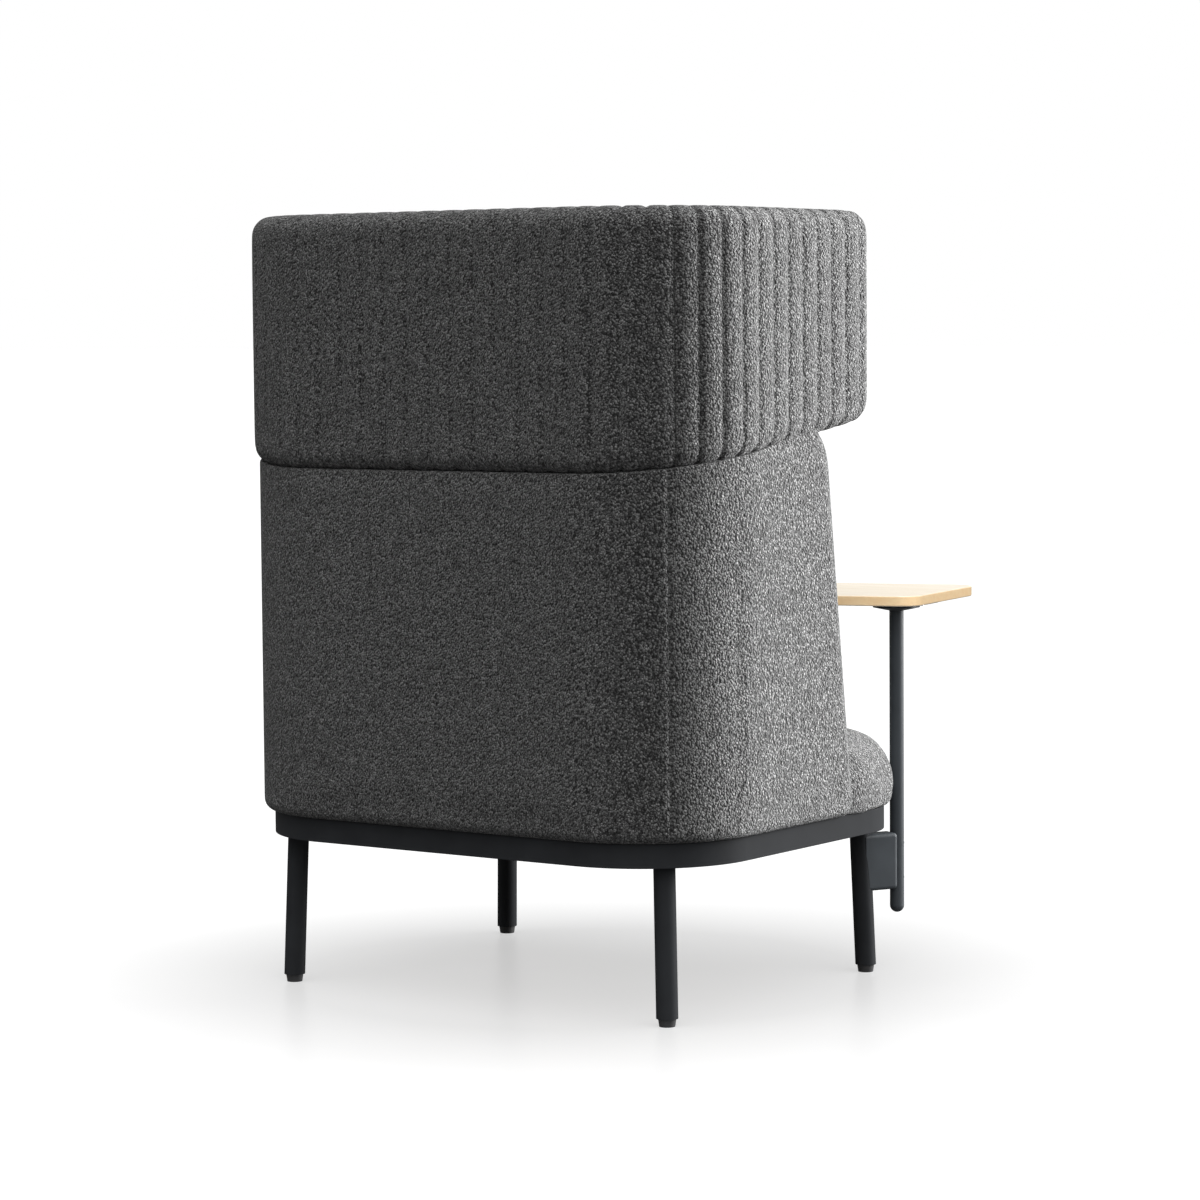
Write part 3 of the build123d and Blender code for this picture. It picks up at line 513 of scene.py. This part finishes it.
def cover_in_cloth(piece, *stood_for):
    """Finishes an upholstered piece: smooths it once and lets it stand for its CAD solids."""
    finer = piece.modifiers.new("smooth_cloth", "SUBSURF")
    finer.levels = finer.render_levels = 1
    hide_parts(*stood_for)
    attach(piece, "chair")
    upholstery.objects.link(piece)


wall_radius = 0.215
wall_inner = 0.14
wall_row = 0.016
wall_front = -0.135
wall_lean = 0.1325
wall_top_round = 0.07
wall_tuck = 0.004
foot_hold = 0.004
wall_built_top = hood_low(hood_back_face)


def shape_wall(shape):
    """Fits the wall under the hood's slope and leans its front edge back, rounded at the top."""
    for vert in shape.verts:
        top = hood_low(vert.co.y) + wall_tuck
        vert.co.z = deck_level + (vert.co.z - deck_level) * (top - deck_level) / (wall_built_top - deck_level)
        share = min(max((corner.y - vert.co.y) / (corner.y - wall_front), 0), 1)
        below = min(max(top - vert.co.z, 0), wall_top_round)
        rounding = wall_top_round - math.sqrt(wall_top_round ** 2 - (wall_top_round - below) ** 2)
        vert.co.y += share * (wall_lean * (vert.co.z - deck_level) + share ** 3 * rounding)


def wall_section(shape):
    """The wall's section: rolled at the foot, square under the hood."""
    return start_section(shape, (
        (wall_radius, deck_level, 0.018),
        (wall_radius, wall_built_top, 0.004),
        (wall_inner, wall_built_top, 0.004),
        (wall_inner, deck_level, 0.018),
    ), wall_row)


def held_wall(shape, seam_verts):
    """The wall's points that its filling doesn't move: its seams, its foot and what the hood covers."""
    shape.verts.index_update()
    sewn = set(seam_verts)
    return [
        v.index for v in shape.verts
        if v in sewn or v.co.z < deck_level + foot_hold or v.co.z > hood_low(v.co.y)
    ]


wall_pressure = 2.0
wall_give = 0.004
# How much painted shade the wall's corner seams get.
wall_seam_shade = 0.75
wall_quarter = wall_radius * math.pi / 4
wall_nose = 0.032
side_travel = wall_quarter + corner.y - wall_front - wall_nose
side_shape = bmesh.new()
rim, verts = wall_section(side_shape)
seam_verts = list(verts)
side_rings = round(side_travel / wall_row)
for ring in range(side_rings):
    start, end = -side_travel * ring / side_rings, -side_travel * (ring + 1) / side_rings
    rim, verts = carry_section(side_shape, rim, wall_radius, start, end)
round_off(side_shape, rim, verts, wall_radius, -side_travel, wall_nose, wall_nose)
shape_wall(side_shape)
held = held_wall(side_shape, seam_verts)
right_wall = sewn_piece("right_wall", side_shape, [(seam_verts, wall_seam_shade)])
swell(right_wall, held, wall_pressure, wall_give)
left_wall = mirrored("left_wall", right_wall)
cover_in_cloth(right_wall, "right_pad")
cover_in_cloth(left_wall, "left_pad")

back_travel = 2 * wall_quarter + back_run
back_shape = bmesh.new()
rim, verts = wall_section(back_shape)
seam_verts = list(verts)
back_rings = round(back_travel / wall_row)
for ring in range(back_rings):
    start, end = back_travel * ring / back_rings, back_travel * (ring + 1) / back_rings
    rim, verts = carry_section(back_shape, rim, wall_radius, start, end)
seam_verts += verts
close_seam(back_shape, rim)
shape_wall(back_shape)
held = held_wall(back_shape, seam_verts)
back_wall = sewn_piece("back_wall", back_shape, [(seam_verts, wall_seam_shade)])
swell(back_wall, held, wall_pressure, wall_give)
cover_in_cloth(back_wall, "back_pad", "back_inner_pad")

# Hood: a thicker padded band round the top of the wall, quilted in upright channels and sewn at the
# rear corners. Its lower face rises toward the front, and its wings end in a soft rounded edge.
hood_radius = 0.223
hood_inner = 0.133
hood_top = 1.316
hood_front = -0.178
hood_edge = 0.032
hood_row = 0.014
hood_slope_margin = 0.045
hood_seam = 0.0105
hood_seam_lap = 0.004
stitch_depth = 0.0035
channel_rings = 6
hood_built_low = hood_low(hood_back_face)


def hood_section(shape, seam):
    """The hood's section, soft all round, moved to its seam just ahead of the corner's middle."""
    rim, verts = start_section(shape, (
        (hood_radius, hood_built_low, hood_edge),
        (hood_radius, hood_top, hood_edge),
        (hood_inner, hood_top, hood_edge),
        (hood_inner, hood_built_low, hood_edge),
    ), hood_row)
    bmesh.ops.rotate(shape, verts=verts, cent=corner, matrix=Matrix.Rotation(seam / hood_radius, 3, "Z"))
    return rim, verts


def quilt(shape, rings):
    """Draws the rings in at the stitch lines, then slopes the hood's lower face."""
    bmesh.ops.recalc_face_normals(shape, faces=shape.faces)
    shape.normal_update()
    for number, verts in enumerate(rings):
        across = abs(2 * ((number / channel_rings) % 1) - 1)
        for vert in verts:
            vert.co -= vert.normal * stitch_depth * across ** 5
    for vert in shape.verts:
        share = (hood_top - hood_slope_margin - vert.co.z) / (hood_top - 2 * hood_slope_margin - hood_built_low)
        vert.co.z += (hood_low(vert.co.y) - hood_built_low) * min(max(share, 0), 1)
    shape.verts.index_update()
    return rings[::channel_rings]


hood_quarter = hood_radius * math.pi / 4
wing_channels = 11
wing_pitch = 0.044
wing_travel = hood_seam + wing_pitch * wing_channels
wing_shape = bmesh.new()
rim, verts = hood_section(wing_shape, hood_seam)
wing_rings = [verts]
step = wing_pitch / channel_rings
for ring in range(wing_channels * channel_rings):
    start = -hood_seam - step * ring
    rim, verts = carry_section(wing_shape, rim, hood_radius, start, start - step)
    wing_rings.append(verts)
nose_length = hood_quarter + corner.y - hood_front - wing_travel
round_off(wing_shape, rim, verts, hood_radius, -wing_travel, nose_length, hood_edge)
stitches = quilt(wing_shape, wing_rings)
held = [v.index for ring in stitches for v in ring]
# Its stitch lines carry the full painted seam shade.
right_wing = sewn_piece("hood_right_wing", wing_shape, [(ring, 1.0) for ring in stitches])
swell(right_wing, held, 2.5, 0.0025)
left_wing = mirrored("hood_left_wing", right_wing)
cover_in_cloth(right_wing, "hood_right")
cover_in_cloth(left_wing, "hood_left")

back_channels = 20
back_seam = hood_seam + hood_seam_lap
hood_travel = 2 * (hood_quarter + back_seam) + back_run
hood_shape = bmesh.new()
rim, verts = hood_section(hood_shape, back_seam)
hood_rings = [verts]
step = hood_travel / (back_channels * channel_rings)
for ring in range(back_channels * channel_rings):
    start = step * ring - back_seam
    rim, verts = carry_section(hood_shape, rim, hood_radius, start, start + step)
    hood_rings.append(verts)
close_seam(hood_shape, rim)
stitches = quilt(hood_shape, hood_rings)
held = [v.index for ring in stitches for v in ring]
# Its stitch lines carry three quarters of the painted seam shade.
hood_back = sewn_piece("hood_back_band", hood_shape, [(ring, 0.75) for ring in stitches])
swell(hood_back, held, 2.0, 0.002)
cover_in_cloth(hood_back, "hood_back")

# Seat cushion: one domed foam cushion, wide in front of the side panels and narrow between them.
# Its cover is drawn tight over the foam, so it crowns in the middle and rolls down to the ring.
cushion_mesh = nodes["seat_cushion"].data.copy()
cushion_shape = bmesh.new()
cushion_shape.from_mesh(cushion_mesh)
bmesh.ops.remove_doubles(cushion_shape, verts=cushion_shape.verts, dist=0.0002)
cushion_shape.to_mesh(cushion_mesh)
cushion_shape.free()
cushion_mesh.materials.clear()
cushion_mesh.materials.append(boucle)
cushion = bpy.data.objects.new("seat_pillow", cushion_mesh)
scene.collection.objects.link(cushion)
even = cushion.modifiers.new("even_mesh", "REMESH")
even.mode = "VOXEL"
even.voxel_size = 0.01
soften = cushion.modifiers.new("soften", "SMOOTH")
soften.iterations = 10
soften.factor = 0.5
cushion.data = bpy.data.meshes.new_from_object(cushion.evaluated_get(bpy.context.evaluated_depsgraph_get()))
cushion.modifiers.clear()
cushion.data.name = "seat_pillow"
cushion.data.shade_smooth()
foot_press = 0.012
crown_settle = 0.965
front_bulge = 0.007
step_reach = 0.03
step_half_width = 0.4
for vert in cushion.data.vertices:
    if vert.co.z < deck_level + 2 * foot_press:
        vert.co.z = deck_level + max(vert.co.z - deck_level - foot_press, 0) * 2
    vert.co.z = deck_level + (vert.co.z - deck_level) * crown_settle
    ahead = min(max((wall_front - vert.co.y) / 0.02, 0), 1)
    vert.co += Vector((vert.normal.x, vert.normal.y, 0)) * front_bulge * ahead
    if vert.normal.y > 0.3 and abs(vert.co.x) > step_half_width and vert.co.y < 0:
        vert.co.y += step_reach
held = [v.index for v in cushion.data.vertices if v.co.z < deck_level + foot_hold]
swell(cushion, held, 2.0, 0.004)
cover_in_cloth(cushion, "seat_cushion")

# Table post: a slim steel tube with a round end, carried by a rounded block on the front right leg.
# Post, block, flange and plate are powder coated a satin blue-grey charcoal.
post_coat = powder_coat("blue_grey_powder_coat", (0.029, 0.0335, 0.038), 0.5, 0.2)
paint_nodes(post_coat, "post_bracket", "table_post", "post_end_cap", "table_flange", "table_plate")

# Table top: a pale solid wood board with rounded corners, clear matt lacquer and fine straight grain.
# It is screwed to the plate and swivels with it on the post.
table_wood = wood_finish(
    "pale_table_wood", (0.86, 0.79, 0.69), (0.77, 0.69, 0.56), 16.0, math.radians(-17), (0.25, 5.0, 5.0),
)
tree = table_wood.node_tree
face = tree.nodes["Group"]
edge = tree.nodes.new("ShaderNodeGroup")
edge.node_tree = wood_group
tree.links.new(face.inputs["Place"].links[0].from_socket, edge.inputs["Place"])
edge.inputs["Fineness"].default_value = 16.0
edge.inputs["Pale"].default_value = (1.0, 0.76, 0.46, 1)
edge.inputs["Dark"].default_value = (0.95, 0.66, 0.36, 1)
# Painted light: the board's colour goes by which way it faces, a paler, washed-out colour on the upward face for
# the strong light there and a brighter tan on the edges for the weaker light there.
upright = add_node(tree, "SeparateXYZ", Vector=add_node(tree, "TexCoord").outputs["Normal"]).outputs["Z"]
flatness = calculate(tree, "ABSOLUTE", upright)
painted_top_light_share = add_node(tree, "MapRange", Value=flatness, From_Min=0.3, From_Max=0.9).outputs[0]
board_colour_with_painted_light = mixed(tree, painted_top_light_share, edge.outputs["Colour"], face.outputs["Colour"])
tree.links.new(board_colour_with_painted_light, tree.nodes["Principled BSDF"].inputs["Base Color"])
paint_nodes(table_wood, "table_top")
